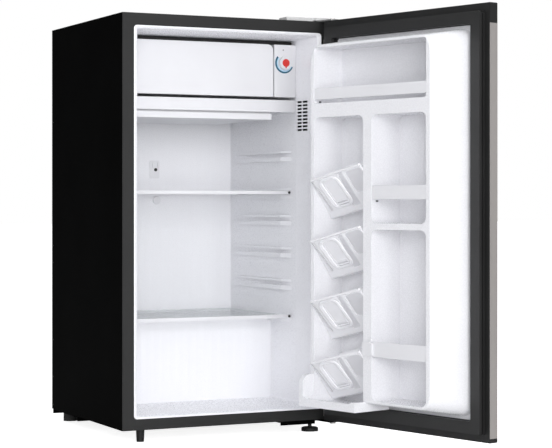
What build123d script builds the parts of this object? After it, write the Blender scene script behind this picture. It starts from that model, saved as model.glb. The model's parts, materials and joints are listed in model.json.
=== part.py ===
"""A compact refrigerator with its door standing open, as separate pieces.

Frame: +Z up, +Y towards the back. The origin is on the floor, under the middle of the cabinet's front
edge. The door is drawn shut and then swung open about its hinge pins.
"""

import math
import os

from build123d import *

os.makedirs("parts", exist_ok=True)

# Driving dimensions, in millimetres
WIDTH = 459.0
DEPTH = 422.0
FOOT = 25.0
TOP = 840.0
SHEET = 1.0
LIP = 9.0
BACK_PANEL_Y = 418.0
LINER = 1.6
BACK_WALL_Y = 388.0
FLOOR_Z = 53.0
CEILING_Z = 806.0
FREEZER_Y = 79.0
# Sections of the space inside, from the front: y, half width, floor and ceiling
SECTIONS = [
    (0.0, 204.0, 48.5, 814.5),
    (4.0, 198.0, 51.0, 811.0),
    (FREEZER_Y, 187.5, FLOOR_Z, CEILING_Z),
    (BACK_WALL_Y, 178.0, FLOOR_Z, CEILING_Z),
]
SECTION_ROUND = 5.0
HUMP_Y = 194.0
HUMP_Z = 226.5
BAY_Y = 224.0
BAY_Z = 200.0
GUIDE_HEIGHTS = [295.0, 362.5, 430.0, 486.5, 565.0]
GUIDE_Y = (98.0, 360.0)
RIB_TIP = 176.0
RIB_TAPER_Y = (97.0, 130.0)
LOWER_SHELF_Z = 228.0
UPPER_SHELF_Z = 488.5
SHELF_Y = 98.0
SHELF_HALF = 176.5
TRIM_HALF = 184.0
FREEZER_Z = (688.0, 797.0)
FREEZER_SPLIT_X = 135.0
TRAY_Z = (641.0, 682.0)
TRAY_PLATE_Z = 664.0
DIAL = (160.4, 759.0)

DOOR_GAP = 13.0
DOOR_THICK = 23.0
DOOR_Z = (25.6, 839.4)
TOP_CAP = 38.0
BOTTOM_CAP = 8.5
RIM = 14.0
GASKET = 25.0
GASKET_THICK = 12.6
PIN = (217.6, -27.0)
PIN_R = 4.0
RUNNING = 0.05
DOOR_OPEN = 104.27
RIDGE = 83.0
POCKET_BACK = 8.0
RACK_PITCH = 120.0
RACK_TILT = 12.6

INNER = -DOOR_GAP
OUTER = INNER - DOOR_THICK
HALF = WIDTH / 2
HINGE_AXIS = Axis((PIN[0], PIN[1], 0), (0, 0, 1))


def block(x, y, z, mode=Mode.ADD):
    """A box between three pairs of limits."""
    with Locations((sum(x) / 2, sum(y) / 2, sum(z) / 2)):
        Box(x[1] - x[0], y[1] - y[0], z[1] - z[0], mode=mode)


def upright(centre, radius, z, mode=Mode.ADD):
    """A vertical cylinder at centre, between two heights."""
    with BuildSketch(Plane.XY.offset(z[0])) as disc:
        with Locations(centre):
            Circle(radius)
    extrude(disc.sketch, amount=z[1] - z[0], mode=mode)


def rounded_slab(x, y, z, radius, mode=Mode.ADD):
    """A slab along Y whose outline, seen from the front, is a rounded rectangle."""
    with BuildSketch(Plane.XZ.offset(-y[0])) as outline:
        with Locations((sum(x) / 2, sum(z) / 2)):
            RectangleRounded(x[1] - x[0], z[1] - z[0], radius)
    extrude(outline.sketch, amount=-(y[1] - y[0]), mode=mode)


def from_hinge(s):
    """X of a point that lies s from the door's hinge edge, with the door shut."""
    return HALF - s


def swing_open(piece):
    """Turn a piece of the door from shut to open."""
    piece.part = piece.part.rotate(HINGE_AXIS, DOOR_OPEN)


# ---------------------------------------------------------------- cabinet


def cavity(grow=0.0):
    """The space inside the cabinet, with its walls moved out by grow."""
    with BuildPart() as space:
        for front, back in zip(SECTIONS, SECTIONS[1:]):
            for y, half, floor, ceiling in (front, back):
                if y == BACK_WALL_Y:
                    y += grow
                with BuildSketch(Plane.XZ.offset(-y)):
                    with Locations((0, (floor + ceiling) / 2)):
                        height = ceiling - floor + 2 * grow
                        RectangleRounded(2 * (half + grow), height, SECTION_ROUND + grow)
            loft()
        block((-300, 300), (HUMP_Y + grow, 500), (0, HUMP_Z - grow), Mode.SUBTRACT)
    return space.part


def side_ribs(z, y=GUIDE_Y):
    """A bar right across the cabinet, which leaves a rib on both side walls once its middle is cut out."""
    with BuildSketch(Plane.YZ) as rib:
        with Locations((sum(y) / 2, sum(z) / 2)):
            RectangleRounded(y[1] - y[0], z[1] - z[0], (z[1] - z[0]) / 2 - 0.2)
    extrude(rib.sketch, amount=HALF - 30, both=True)


clear_space = cavity()
lined_space = cavity(LINER)

with BuildPart() as outer_shell:
    block((-HALF, HALF), (SHEET, DEPTH), (FOOT, TOP))
    block((-HALF + SHEET, HALF - SHEET), (0, DEPTH - SHEET), (FOOT - 1, TOP - SHEET), Mode.SUBTRACT)
    block((-HALF + LIP, HALF - LIP), (0, DEPTH + 1), (FOOT - 1, TOP - LIP), Mode.SUBTRACT)
outer_shell.part.label = "outer_shell"
export_step(outer_shell.part, "parts/outer_shell.step")

with BuildPart() as front_frame:
    rounded_slab((-HALF, HALF), (0, SHEET), (FOOT, TOP), 3)
    add(lined_space, mode=Mode.SUBTRACT)
front_frame.part.label = "front_frame"
export_step(front_frame.part, "parts/front_frame.step")

with BuildPart() as guide_ribs:
    for guide in GUIDE_HEIGHTS:
        side_ribs((guide - 9, guide))
        side_ribs((guide + 8, guide + 13))
    side_ribs((LOWER_SHELF_Z - 9.4, LOWER_SHELF_Z - 0.4), (SHELF_Y, HUMP_Y + 4))
    side_ribs((TRAY_PLATE_Z - 9.3, TRAY_PLATE_Z - 0.3), (FREEZER_Y + 8, 366))
    with BuildSketch() as middle:
        with BuildLine():
            Polyline(
                (0, 0),
                (RIB_TIP + 12, 0),
                (RIB_TIP + 12, RIB_TAPER_Y[0]),
                (RIB_TIP, RIB_TAPER_Y[1]),
                (RIB_TIP, 500),
                (0, 500),
                close=True,
            )
        make_face()
        mirror(about=Plane.YZ)
    extrude(middle.sketch, amount=900, mode=Mode.SUBTRACT)

GRILLE_Y = (34.0, 78.0)
GRILLE_SLOTS_Y = [(36.5, 55.0), (57.5, 76.0)]
GRILLE_Z = (610.0, 688.0)
GRILLE_POCKET_X = 208.0

with BuildPart() as grille_pocket:
    block((150, GRILLE_POCKET_X), (GRILLE_Y[0] + 2, GRILLE_Y[1] - 2), (GRILLE_Z[0] + 3, GRILLE_Z[1] - 3))

with BuildPart() as hollow:
    add(clear_space)
    add(guide_ribs.part, mode=Mode.SUBTRACT)

with BuildPart() as cabinet_liner:
    add(lined_space)
    add(hollow.part, mode=Mode.SUBTRACT)
    add(grille_pocket.part, mode=Mode.SUBTRACT)
cabinet_liner.part.label = "cabinet_liner"
export_step(cabinet_liner.part, "parts/cabinet_liner.step")

FOAM_X = HALF - SHEET
COIL_RECESS = 7.0
COIL_Y = (60.0, 380.0)
COIL_Z = (260.0, 780.0)

with BuildPart() as cabinet_foam:
    block((-FOAM_X, FOAM_X), (SHEET, BACK_PANEL_Y - SHEET), (FOOT + SHEET, TOP - SHEET))
    add(lined_space, mode=Mode.SUBTRACT)
    block((-300, 300), (BAY_Y - SHEET, 500), (0, BAY_Z + SHEET), Mode.SUBTRACT)
    block((FOAM_X - COIL_RECESS, 300), COIL_Y, COIL_Z, Mode.SUBTRACT)
    add(grille_pocket.part, mode=Mode.SUBTRACT)
    for foot_x in (-184, 190):
        upright((foot_x, 22), 9, (FOOT, FOOT + 20), Mode.SUBTRACT)
cabinet_foam.part.label = "cabinet_foam"
export_step(cabinet_foam.part, "parts/cabinet_foam.step")

with BuildPart() as back_panel:
    block((-FOAM_X, FOAM_X), (BACK_PANEL_Y - SHEET, BACK_PANEL_Y), (BAY_Z + SHEET, TOP - SHEET))
back_panel.part.label = "back_panel"
export_step(back_panel.part, "parts/back_panel.step")

LEFT_FOOT = (-184.0, 22.0)
RIGHT_FOOT = (190.0, 22.0)
STUD_R = 4.0

with BuildPart() as base_pan:
    block((-FOAM_X, FOAM_X), (SHEET, BAY_Y), (FOOT, FOOT + SHEET))
    block((-FOAM_X, FOAM_X), (BAY_Y - SHEET, BAY_Y), (FOOT, BAY_Z + SHEET))
    block((-FOAM_X, FOAM_X), (BAY_Y - SHEET, BACK_PANEL_Y), (BAY_Z, BAY_Z + SHEET))
    upright(LEFT_FOOT, STUD_R + 0.4, (FOOT - 1, FOOT + 5), Mode.SUBTRACT)
    upright(RIGHT_FOOT, STUD_R + 0.4, (FOOT - 1, FOOT + 5), Mode.SUBTRACT)
base_pan.part.label = "base_pan"
export_step(base_pan.part, "parts/base_pan.step")

with BuildPart() as grille_duct:
    add(grille_pocket.part)
    add(lined_space, mode=Mode.SUBTRACT)
    inner_y = (GRILLE_Y[0] + 3, GRILLE_Y[1] - 3)
    block((150, GRILLE_POCKET_X - 1), inner_y, (GRILLE_Z[0] + 4, GRILLE_Z[1] - 4), Mode.SUBTRACT)
grille_duct.part.label = "grille_duct"
export_step(grille_duct.part, "parts/grille_duct.step")

SLOTS = 9
SLOT_PITCH = 7.25
plate_inside = cavity(-1.2)

with BuildPart() as wall_grille:
    block((150, 200), GRILLE_Y, GRILLE_Z)
    add(clear_space, mode=Mode.INTERSECT)
    add(plate_inside, mode=Mode.SUBTRACT)
    for slot in range(SLOTS):
        slot_z = sum(GRILLE_Z) / 2 + (slot - (SLOTS - 1) / 2) * SLOT_PITCH
        for slot_y in GRILLE_SLOTS_Y:
            block((150, 200), slot_y, (slot_z - 2.1, slot_z + 2.1), Mode.SUBTRACT)
wall_grille.part.label = "wall_grille"
export_step(wall_grille.part, "parts/wall_grille.step")

# Condenser: a serpentine of tube against the inside of the right-hand side wall
TUBE_R = 2.5
COIL_X = FOAM_X - TUBE_R - 0.5
RUNS = 8
RUN_PITCH = (COIL_Z[1] - COIL_Z[0] - 60) / (RUNS - 1)
coil_points = []
for run in range(RUNS):
    run_z = COIL_Z[0] + 30 + run * RUN_PITCH
    ends = [COIL_Y[0] + 15, COIL_Y[1] - 15]
    if run % 2:
        ends.reverse()
    coil_points += [(COIL_X, y, run_z) for y in ends]

with BuildPart() as condenser_tube:
    with BuildLine() as coil_path:
        FilletPolyline(*coil_points, radius=18)
    with BuildSketch(Plane(origin=coil_path.line @ 0, z_dir=coil_path.line % 0)):
        Circle(TUBE_R)
    sweep()
condenser_tube.part.label = "condenser_tube"
export_step(condenser_tube.part, "parts/condenser_tube.step")

# ---------------------------------------------------------------- freezer

EVAPORATOR_X = (-168.0, 128.0)
EVAPORATOR_Y = (100.0, 352.0)
EVAPORATOR_Z = (690.0, 796.0)
PLATE = 1.5

with BuildPart() as evaporator:
    rounded_slab(EVAPORATOR_X, EVAPORATOR_Y, EVAPORATOR_Z, 10)
    inside_x = (EVAPORATOR_X[0] + PLATE, EVAPORATOR_X[1] - PLATE)
    inside_z = (EVAPORATOR_Z[0] + PLATE, EVAPORATOR_Z[1] - PLATE)
    rounded_slab(inside_x, (EVAPORATOR_Y[0] - 1, EVAPORATOR_Y[1] - PLATE), inside_z, 8.5, Mode.SUBTRACT)
evaporator.part.label = "evaporator"
export_step(evaporator.part, "parts/evaporator.step")

with BuildPart() as evaporator_hangers:
    for hanger_x in (-130, 90):
        for hanger_y in (125, 325):
            upright((hanger_x, hanger_y), 7, (EVAPORATOR_Z[1], CEILING_Z))
evaporator_hangers.part.label = "evaporator_hangers"
export_step(evaporator_hangers.part, "parts/evaporator_hangers.step")

FLAP_X = (-180.0, FREEZER_SPLIT_X)
FLAP_T = 16.0
FLAP_WALL = 2.2
FLAP_PIN = (-174.0, FREEZER_Y + 9)
FLAP_PIN_R = 2.4

with BuildPart() as freezer_door:
    with BuildSketch(Plane.XZ.offset(-FREEZER_Y)) as flap_outline:
        with Locations((sum(FLAP_X) / 2, sum(FREEZER_Z) / 2)):
            Rectangle(FLAP_X[1] - FLAP_X[0], FREEZER_Z[1] - FREEZER_Z[0])
        fillet(flap_outline.vertices().group_by(Axis.X)[-1].sort_by(Axis.Y)[-1], 13)
        fillet(flap_outline.vertices().group_by(Axis.X)[0], 4)
    extrude(amount=-FLAP_T)
    fillet(freezer_door.faces().sort_by(Axis.Y)[0].edges(), 1.5)
    recess_x = (FLAP_X[0] + 14, FLAP_X[1] - FLAP_WALL)
    recess_z = (FREEZER_Z[0] + FLAP_WALL, FREEZER_Z[1] - FLAP_WALL)
    recess_y = (FREEZER_Y + FLAP_WALL, FREEZER_Y + FLAP_T + 1)
    rounded_slab(recess_x, recess_y, recess_z, 10, Mode.SUBTRACT)
    upright(FLAP_PIN, FLAP_PIN_R, (FREEZER_Z[0] - 4, FREEZER_Z[0] + 1))
    upright(FLAP_PIN, FLAP_PIN_R, (FREEZER_Z[1] - 1, FREEZER_Z[1] + 4))
freezer_door.part.label = "freezer_door"
export_step(freezer_door.part, "parts/freezer_door.step")

with BuildPart() as freezer_door_insert:
    rounded_slab(recess_x, (recess_y[0], FREEZER_Y + FLAP_T - 1), recess_z, 10)
freezer_door_insert.part.label = "freezer_door_insert"
export_step(freezer_door_insert.part, "parts/freezer_door_insert.step")

with BuildPart() as freezer_hinge_clips:
    clip_y = (FREEZER_Y + 2, FREEZER_Y + 15)
    block((-190, -167), clip_y, (FREEZER_Z[0] - 4.6, FREEZER_Z[0] - 0.5))
    block((-190, -167), clip_y, (FREEZER_Z[1] + 0.5, CEILING_Z))
    block((-190, -185.2), (FREEZER_Y + 2, 120), (FREEZER_Z[0] - 4.6, FREEZER_Z[0] + 30))
    upright(FLAP_PIN, FLAP_PIN_R + RUNNING, (FREEZER_Z[0] - 10, CEILING_Z + 1), Mode.SUBTRACT)
    add(clear_space, mode=Mode.INTERSECT)
freezer_hinge_clips.part.label = "freezer_hinge_clips"
export_step(freezer_hinge_clips.part, "parts/freezer_hinge_clips.step")

HOUSING_X = (FREEZER_SPLIT_X + 2, 187.0)
HOUSING_Y = (FREEZER_Y, FREEZER_Y + 55)
SHAFT_R = 3.0

with BuildPart() as thermostat_housing:
    block(HOUSING_X, HOUSING_Y, FREEZER_Z)
    fillet(thermostat_housing.faces().sort_by(Axis.Y)[0].edges(), 1.2)
    inner_x = (HOUSING_X[0] + 2, HOUSING_X[1] - 2)
    inner_z = (FREEZER_Z[0] + 2, FREEZER_Z[1] - 2)
    block(inner_x, (HOUSING_Y[0] + 2, HOUSING_Y[1] + 1), inner_z, Mode.SUBTRACT)
    with BuildSketch(Plane.XZ.offset(-FREEZER_Y + 1)):
        with Locations(DIAL):
            Circle(SHAFT_R + 1)
    extrude(amount=-5, mode=Mode.SUBTRACT)
    add(clear_space, mode=Mode.INTERSECT)
thermostat_housing.part.label = "thermostat_housing"
export_step(thermostat_housing.part, "parts/thermostat_housing.step")

with BuildPart() as thermostat_body:
    block((143, 178), (FREEZER_Y + 8, FREEZER_Y + 38), (DIAL[1] - 20, DIAL[1] + 20))
    with BuildSketch(Plane.XZ.offset(-FREEZER_Y - 8)):
        with Locations(DIAL):
            Circle(6)
    extrude(amount=4)
    with BuildSketch(Plane.XZ.offset(-FREEZER_Y - 3)):
        with Locations(DIAL):
            Circle(SHAFT_R + RUNNING)
    extrude(amount=-25, mode=Mode.SUBTRACT)
thermostat_body.part.label = "thermostat_body"
export_step(thermostat_body.part, "parts/thermostat_body.step")

with BuildPart() as thermostat_shaft:
    with BuildSketch(Plane.XZ.offset(-FREEZER_Y + 4)):
        with Locations(DIAL):
            Circle(SHAFT_R)
    extrude(amount=-30)
thermostat_shaft.part.label = "thermostat_shaft"
export_step(thermostat_shaft.part, "parts/thermostat_shaft.step")

KNOB_R = 14.5
KNOB_Y = (FREEZER_Y - 7.5, FREEZER_Y - 0.5)
CAP_R = 8.2

with BuildPart() as thermostat_knob:
    with BuildSketch(Plane.XZ.offset(-KNOB_Y[1])):
        with Locations(DIAL):
            Circle(KNOB_R)
    extrude(amount=KNOB_Y[1] - KNOB_Y[0], taper=6)
    with BuildSketch(Plane.XZ.offset(-KNOB_Y[0])):
        with Locations(DIAL):
            Circle(CAP_R)
        with Locations((DIAL[0], DIAL[1] - CAP_R)):
            Rectangle(3, 5)
    extrude(amount=-2, mode=Mode.SUBTRACT)
    with BuildSketch(Plane.XZ.offset(-FREEZER_Y + 4)):
        with Locations(DIAL):
            Circle(SHAFT_R)
    extrude(amount=-10, mode=Mode.SUBTRACT)
thermostat_knob.part.label = "thermostat_knob"
export_step(thermostat_knob.part, "parts/thermostat_knob.step")

with BuildPart() as knob_cap:
    with BuildSketch(Plane.XZ.offset(-KNOB_Y[0] - 2)):
        with Locations(DIAL):
            Circle(CAP_R)
        with Locations((DIAL[0], DIAL[1] - CAP_R)):
            Rectangle(3, 5)
    extrude(amount=2)
knob_cap.part.label = "knob_cap"
export_step(knob_cap.part, "parts/knob_cap.step")

# ---------------------------------------------------------------- drip tray and shelves

TRAY_Y = (FREEZER_Y + 3, 362.0)
BAND_Z = (657.0, TRAY_Z[1])
BAND_HALF = 186.0
BASIN_Y = 92.0

with BuildPart() as drip_tray:
    rounded_slab((-BAND_HALF, BAND_HALF), (FREEZER_Y, TRAY_Y[0]), BAND_Z, 2)
    block((-177, 177), TRAY_Y, (TRAY_PLATE_Z, TRAY_PLATE_Z + 2))
    rounded_slab((-174, 134), (BASIN_Y, TRAY_Y[1]), (TRAY_Z[0], TRAY_PLATE_Z + 2), 6)
    with BuildSketch(Plane.XY.offset(TRAY_Z[0])) as tray_lip:
        with Locations((-20, BASIN_Y - 3)):
            Rectangle(308, 14)
        fillet(tray_lip.vertices().group_by(Axis.Y)[0], 5)
    extrude(amount=12)
    rounded_slab((-172, 132), (BASIN_Y + 4, TRAY_Y[1] - 2), (TRAY_Z[0] + 2, 672), 4, Mode.SUBTRACT)
drip_tray.part.label = "drip_tray"
export_step(drip_tray.part, "parts/drip_tray.step")

CLIP_SCREW = (-4.0, 541.0)
GLASS = 4.0
TRIM_DEPTH = 12.0
UPPER_BACK = 352.0


def shelf_glass(z, back):
    """A sheet of glass with its corners rounded."""
    with BuildSketch(Plane.XY.offset(z)) as sheet:
        with Locations((0, (SHELF_Y + 5 + back) / 2)):
            RectangleRounded(2 * SHELF_HALF - 4, back - SHELF_Y - 5, 4)
    extrude(sheet.sketch, amount=GLASS)


def shelf_edge(z, half, outer, inner):
    """A plastic profile, as long as twice half, that takes one long edge of the glass."""
    block((-half, half), sorted((outer, inner)), (z - 1.6, z + GLASS + 1.2))
    slot_y = sorted((outer + (inner - outer) * 5 / 12, inner + (inner - outer)))
    block((-SHELF_HALF + 2, SHELF_HALF - 2), slot_y, (z, z + GLASS), Mode.SUBTRACT)


with BuildPart() as upper_shelf_glass:
    shelf_glass(UPPER_SHELF_Z, UPPER_BACK)
upper_shelf_glass.part.label = "upper_shelf_glass"
export_step(upper_shelf_glass.part, "parts/upper_shelf_glass.step")

with BuildPart() as upper_shelf_trims:
    shelf_edge(UPPER_SHELF_Z, TRIM_HALF, SHELF_Y, SHELF_Y + TRIM_DEPTH)
    shelf_edge(UPPER_SHELF_Z, SHELF_HALF, UPPER_BACK + 5, UPPER_BACK + 5 - TRIM_DEPTH)
upper_shelf_trims.part.label = "upper_shelf_trims"
export_step(upper_shelf_trims.part, "parts/upper_shelf_trims.step")

with BuildPart() as lower_shelf_glass:
    shelf_glass(LOWER_SHELF_Z + 1.6, 382)
lower_shelf_glass.part.label = "lower_shelf_glass"
export_step(lower_shelf_glass.part, "parts/lower_shelf_glass.step")

with BuildPart() as lower_shelf_trim:
    shelf_edge(LOWER_SHELF_Z + 1.6, TRIM_HALF, SHELF_Y, SHELF_Y + TRIM_DEPTH)
lower_shelf_trim.part.label = "lower_shelf_trim"
export_step(lower_shelf_trim.part, "parts/lower_shelf_trim.step")

with BuildPart() as sensor_clip:
    rounded_slab((-17, 5), (BACK_WALL_Y - 3, BACK_WALL_Y), (522, 561), 3)
    with BuildSketch(Plane.XZ.offset(-BACK_WALL_Y + 3)):
        with Locations(CLIP_SCREW):
            Circle(1.6)
    extrude(amount=-3, mode=Mode.SUBTRACT)
    rounded_slab((-12, -9), (BACK_WALL_Y - 6, BACK_WALL_Y - 3), (545, 556), 1.2)
    rounded_slab((0, 3), (BACK_WALL_Y - 6, BACK_WALL_Y - 3), (546, 556), 1.2)
sensor_clip.part.label = "sensor_clip"
export_step(sensor_clip.part, "parts/sensor_clip.step")

with BuildPart() as sensor_clip_screw:
    with BuildSketch(Plane.XZ.offset(-BACK_WALL_Y + 3)):
        with Locations(CLIP_SCREW):
            Circle(3.6)
    extrude(amount=2)
    with BuildSketch(Plane.XZ.offset(-BACK_WALL_Y + 3)):
        with Locations(CLIP_SCREW):
            Circle(1.6)
    extrude(amount=-3)
    fillet(sensor_clip_screw.faces().sort_by(Axis.Y)[0].edges(), 1)
    slot_z = (CLIP_SCREW[1] - 0.6, CLIP_SCREW[1] + 0.6)
    block((-7, -1), (BACK_WALL_Y - 5.5, BACK_WALL_Y - 4.4), slot_z, Mode.SUBTRACT)
sensor_clip_screw.part.label = "sensor_clip_screw"
export_step(sensor_clip_screw.part, "parts/sensor_clip_screw.step")

with BuildPart() as wall_plug:
    with BuildSketch(Plane.XZ.offset(-BACK_WALL_Y)):
        with Locations((-1, 474)):
            Circle(9)
    extrude(amount=5)
    fillet(wall_plug.faces().sort_by(Axis.Y)[0].edges(), 2)
wall_plug.part.label = "wall_plug"
export_step(wall_plug.part, "parts/wall_plug.step")

# ---------------------------------------------------------------- compressor bay

RAIL_Z = 15.0

GLAND = (-150.0, 62.0)
TAB_Y = (DEPTH - 6.0, DEPTH - 4.0)

with BuildPart() as compressor_rail:
    block((-FOAM_X, FOAM_X), (262, 418), (RAIL_Z, FOOT))
    block((-FOAM_X - 1, FOAM_X + 1), (264, 416), (RAIL_Z - 1, FOOT - 2), Mode.SUBTRACT)
    for side in (-1, 1):
        flange_x = sorted((side * (FOAM_X - 2), side * FOAM_X))
        block(flange_x, (262, 418), (FOOT - 2, FOOT + 18))
    # a tab bent up at the back carries the cord's gland
    block((GLAND[0] - 18, GLAND[0] + 18), TAB_Y, (RAIL_Z, GLAND[1] + 20))
    with BuildSketch(Plane.XZ.offset(-TAB_Y[0] + 1)):
        with Locations(GLAND):
            Circle(7)
    extrude(amount=-5, mode=Mode.SUBTRACT)
compressor_rail.part.label = "compressor_rail"
export_step(compressor_rail.part, "parts/compressor_rail.step")

COMPRESSOR = (40.0, 338.0)
MOUNTS = [(COMPRESSOR[0] + dx, COMPRESSOR[1] + dy) for dx in (-72, 72) for dy in (-48, 48)]

with BuildPart() as compressor:
    with BuildSketch(Plane.XY.offset(46)):
        with Locations(COMPRESSOR):
            Ellipse(66, 56)
    extrude(amount=112)
    fillet(compressor.faces().sort_by(Axis.Z)[-1].edges(), 34)
    fillet(compressor.faces().sort_by(Axis.Z)[0].edges(), 12)
    block((COMPRESSOR[0] - 86, COMPRESSOR[0] + 86), (COMPRESSOR[1] - 62, COMPRESSOR[1] + 62), (42, 46))
    for mount in MOUNTS:
        upright(mount, 8, (40, 48), Mode.SUBTRACT)
compressor.part.label = "compressor"
export_step(compressor.part, "parts/compressor.step")

with BuildPart() as compressor_mounts:
    for mount in MOUNTS:
        upright(mount, 11, (FOOT, 42))
        upright(mount, 8, (42, 49))
        upright(mount, 3.5, (FOOT, 49), Mode.SUBTRACT)
compressor_mounts.part.label = "compressor_mounts"
export_step(compressor_mounts.part, "parts/compressor_mounts.step")

with BuildPart() as compressor_studs:
    for mount in MOUNTS:
        upright(mount, 3.5, (FOOT, 56))
        with BuildSketch(Plane.XY.offset(49)):
            with Locations(mount):
                RegularPolygon(6, 6)
        extrude(amount=4)
compressor_studs.part.label = "compressor_studs"
export_step(compressor_studs.part, "parts/compressor_studs.step")

with BuildPart() as terminal_cover:
    block((COMPRESSOR[0] - 98, COMPRESSOR[0] - 60), (COMPRESSOR[1] - 24, COMPRESSOR[1] + 24), (70, 124))
    fillet(terminal_cover.edges().filter_by(Axis.X), 5)
    with BuildSketch(Plane.XY.offset(46)):
        with Locations(COMPRESSOR):
            Ellipse(66.2, 56.2)
    extrude(amount=112, mode=Mode.SUBTRACT)
terminal_cover.part.label = "terminal_cover"
export_step(terminal_cover.part, "parts/terminal_cover.step")

with BuildPart() as drain_pan:
    rounded_slab((-60, 140), (262, 414), (176, 196), 6)
    block((-58, 138), (264, 412), (178, 197), Mode.SUBTRACT)
    for ear_x in (-64, 140):
        block((ear_x, ear_x + 4), (300, 330), (186, BAY_Z))
drain_pan.part.label = "drain_pan"
export_step(drain_pan.part, "parts/drain_pan.step")

def tube(points, radius, bend):
    """A round tube along straight runs joined by arcs."""
    with BuildLine() as path:
        FilletPolyline(*points, radius=bend)
    with BuildSketch(Plane(origin=path.line @ 0, z_dir=path.line % 0)) as section:
        Circle(radius)
    sweep(section.sketch, path=path.line)


with BuildPart() as discharge_tube:
    tube([(105.5, 352, 84), (150, 352, 84), (150, 352, 150), (196, 352, 150), (196, 300, 150)], 2.5, 14)
    tube([(196, 296, 150), (196, 250, 150), (196, 250, 201)], 2.5, 14)
    upright((196, 250), 3, (BAY_Z - 2, 220), Mode.SUBTRACT)
discharge_tube.part.label = "discharge_tube"
export_step(discharge_tube.part, "parts/discharge_tube.step")

with BuildPart() as filter_drier:
    with BuildSketch(Plane.XY.offset(82)):
        with Locations((-120, 250)):
            Circle(9)
    extrude(amount=90)
    fillet(filter_drier.edges().filter_by(GeomType.CIRCLE), 6)
filter_drier.part.label = "filter_drier"
export_step(filter_drier.part, "parts/filter_drier.step")

with BuildPart() as cord_gland:
    gland_ends = (TAB_Y[0] - 3, TAB_Y[1] + 3)
    for y, radius in ((gland_ends, 7), ((gland_ends[0], TAB_Y[0]), 9), ((TAB_Y[1], gland_ends[1]), 9)):
        with BuildSketch(Plane.XZ.offset(-y[0])):
            with Locations(GLAND):
                Circle(radius)
                Circle(4, mode=Mode.SUBTRACT)
        extrude(amount=-(y[1] - y[0]))
cord_gland.part.label = "cord_gland"
export_step(cord_gland.part, "parts/cord_gland.step")

# ---------------------------------------------------------------- feet

with BuildPart() as front_foot:
    with BuildSketch(Plane.XY):
        with Locations(LEFT_FOOT):
            Circle(7.3)
    with BuildSketch(Plane.XY.offset(FOOT)):
        with Locations(LEFT_FOOT):
            Circle(8.6)
    loft()
    upright(LEFT_FOOT, STUD_R, (FOOT, FOOT + 14))
front_foot.part.label = "front_foot"
export_step(front_foot.part, "parts/front_foot.step")

with BuildPart() as levelling_foot:
    upright(RIGHT_FOOT, 17.3, (0, 8))
    fillet(levelling_foot.faces().sort_by(Axis.Z)[-1].edges(), 3)
    upright(RIGHT_FOOT, STUD_R - RUNNING, (8, FOOT + 16))
levelling_foot.part.label = "levelling_foot"
export_step(levelling_foot.part, "parts/levelling_foot.step")

with BuildPart() as rear_feet:
    for side in (-1, 1):
        upright((side * 196, 398), 15, (0, RAIL_Z + 6))
        upright((side * 196, 398), 6, (RAIL_Z + 6, FOOT - 2))
rear_feet.part.label = "rear_feet"
export_step(rear_feet.part, "parts/rear_feet.step")

# ---------------------------------------------------------------- hinges

PLATE_Z = (TOP, TOP + 2.5)
TOP_PLATE_OUTLINE = [(136, 14), (196, 14), (208, -38), (226, -38), (228, -30), (222, 44), (136, 44)]
SCREWS = [(150.0, 26.0), (180.0, 26.0), (206.0, 26.0)]

with BuildPart() as top_hinge_plate:
    with BuildSketch(Plane.XY.offset(PLATE_Z[0])) as plate_outline:
        with BuildLine():
            Polyline(*TOP_PLATE_OUTLINE, close=True)
        make_face()
        fillet(plate_outline.vertices(), 3)
    extrude(amount=PLATE_Z[1] - PLATE_Z[0])
    upright(PIN, PIN_R, (PLATE_Z[0] - 1, PLATE_Z[1] + 1), Mode.SUBTRACT)
    for screw in SCREWS:
        upright(screw, 2.2, (PLATE_Z[0] - 1, PLATE_Z[1] + 1), Mode.SUBTRACT)
top_hinge_plate.part.label = "top_hinge_plate"
export_step(top_hinge_plate.part, "parts/top_hinge_plate.step")

COVER_Z = TOP + 8.0
COVER_OUTLINE = [(131, 9), (192, 9), (196, 2), (227, 2), (227, 48), (131, 48)]

with BuildPart() as top_hinge_cover:
    with BuildSketch(Plane.XY.offset(TOP)) as cover_outline:
        with BuildLine():
            Polyline(*COVER_OUTLINE, close=True)
        make_face()
        fillet(cover_outline.vertices(), 3)
    extrude(amount=COVER_Z - TOP, taper=4)
    block((133.5, 224.5), (11.5, 45.5), (TOP - 1, COVER_Z - 1.8), Mode.SUBTRACT)
    block((196, 230), (0, 46), (TOP - 1, PLATE_Z[1] + 0.1), Mode.SUBTRACT)
    block((190, 226), (0, 12), (TOP - 1, PLATE_Z[1] + 0.1), Mode.SUBTRACT)
top_hinge_cover.part.label = "top_hinge_cover"
export_step(top_hinge_cover.part, "parts/top_hinge_cover.step")

BRACKET_Z = (FOOT - 3.0, FOOT)
BRACKET_OUTLINE = [(112, 6), (198, 6), (206, -34), (228, -34), (228, 10), (212, 40), (112, 40)]
BRACKET_SCREWS = [(128.0, 22.0), (158.0, 22.0)]

with BuildPart() as bottom_hinge_bracket:
    with BuildSketch(Plane.XY.offset(BRACKET_Z[0])) as bracket_outline:
        with BuildLine():
            Polyline(*BRACKET_OUTLINE, close=True)
        make_face()
        fillet(bracket_outline.vertices(), 3)
    extrude(amount=BRACKET_Z[1] - BRACKET_Z[0])
    block((116, 194), (6, 8.5), (FOOT - 9, FOOT - 1))
    upright(PIN, PIN_R, (FOOT - 5, FOOT + 1), Mode.SUBTRACT)
    upright(RIGHT_FOOT, STUD_R, (FOOT - 5, FOOT + 1), Mode.SUBTRACT)
    for screw in BRACKET_SCREWS:
        upright(screw, 2.2, (FOOT - 5, FOOT + 1), Mode.SUBTRACT)
bottom_hinge_bracket.part.label = "bottom_hinge_bracket"
export_step(bottom_hinge_bracket.part, "parts/bottom_hinge_bracket.step")

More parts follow.
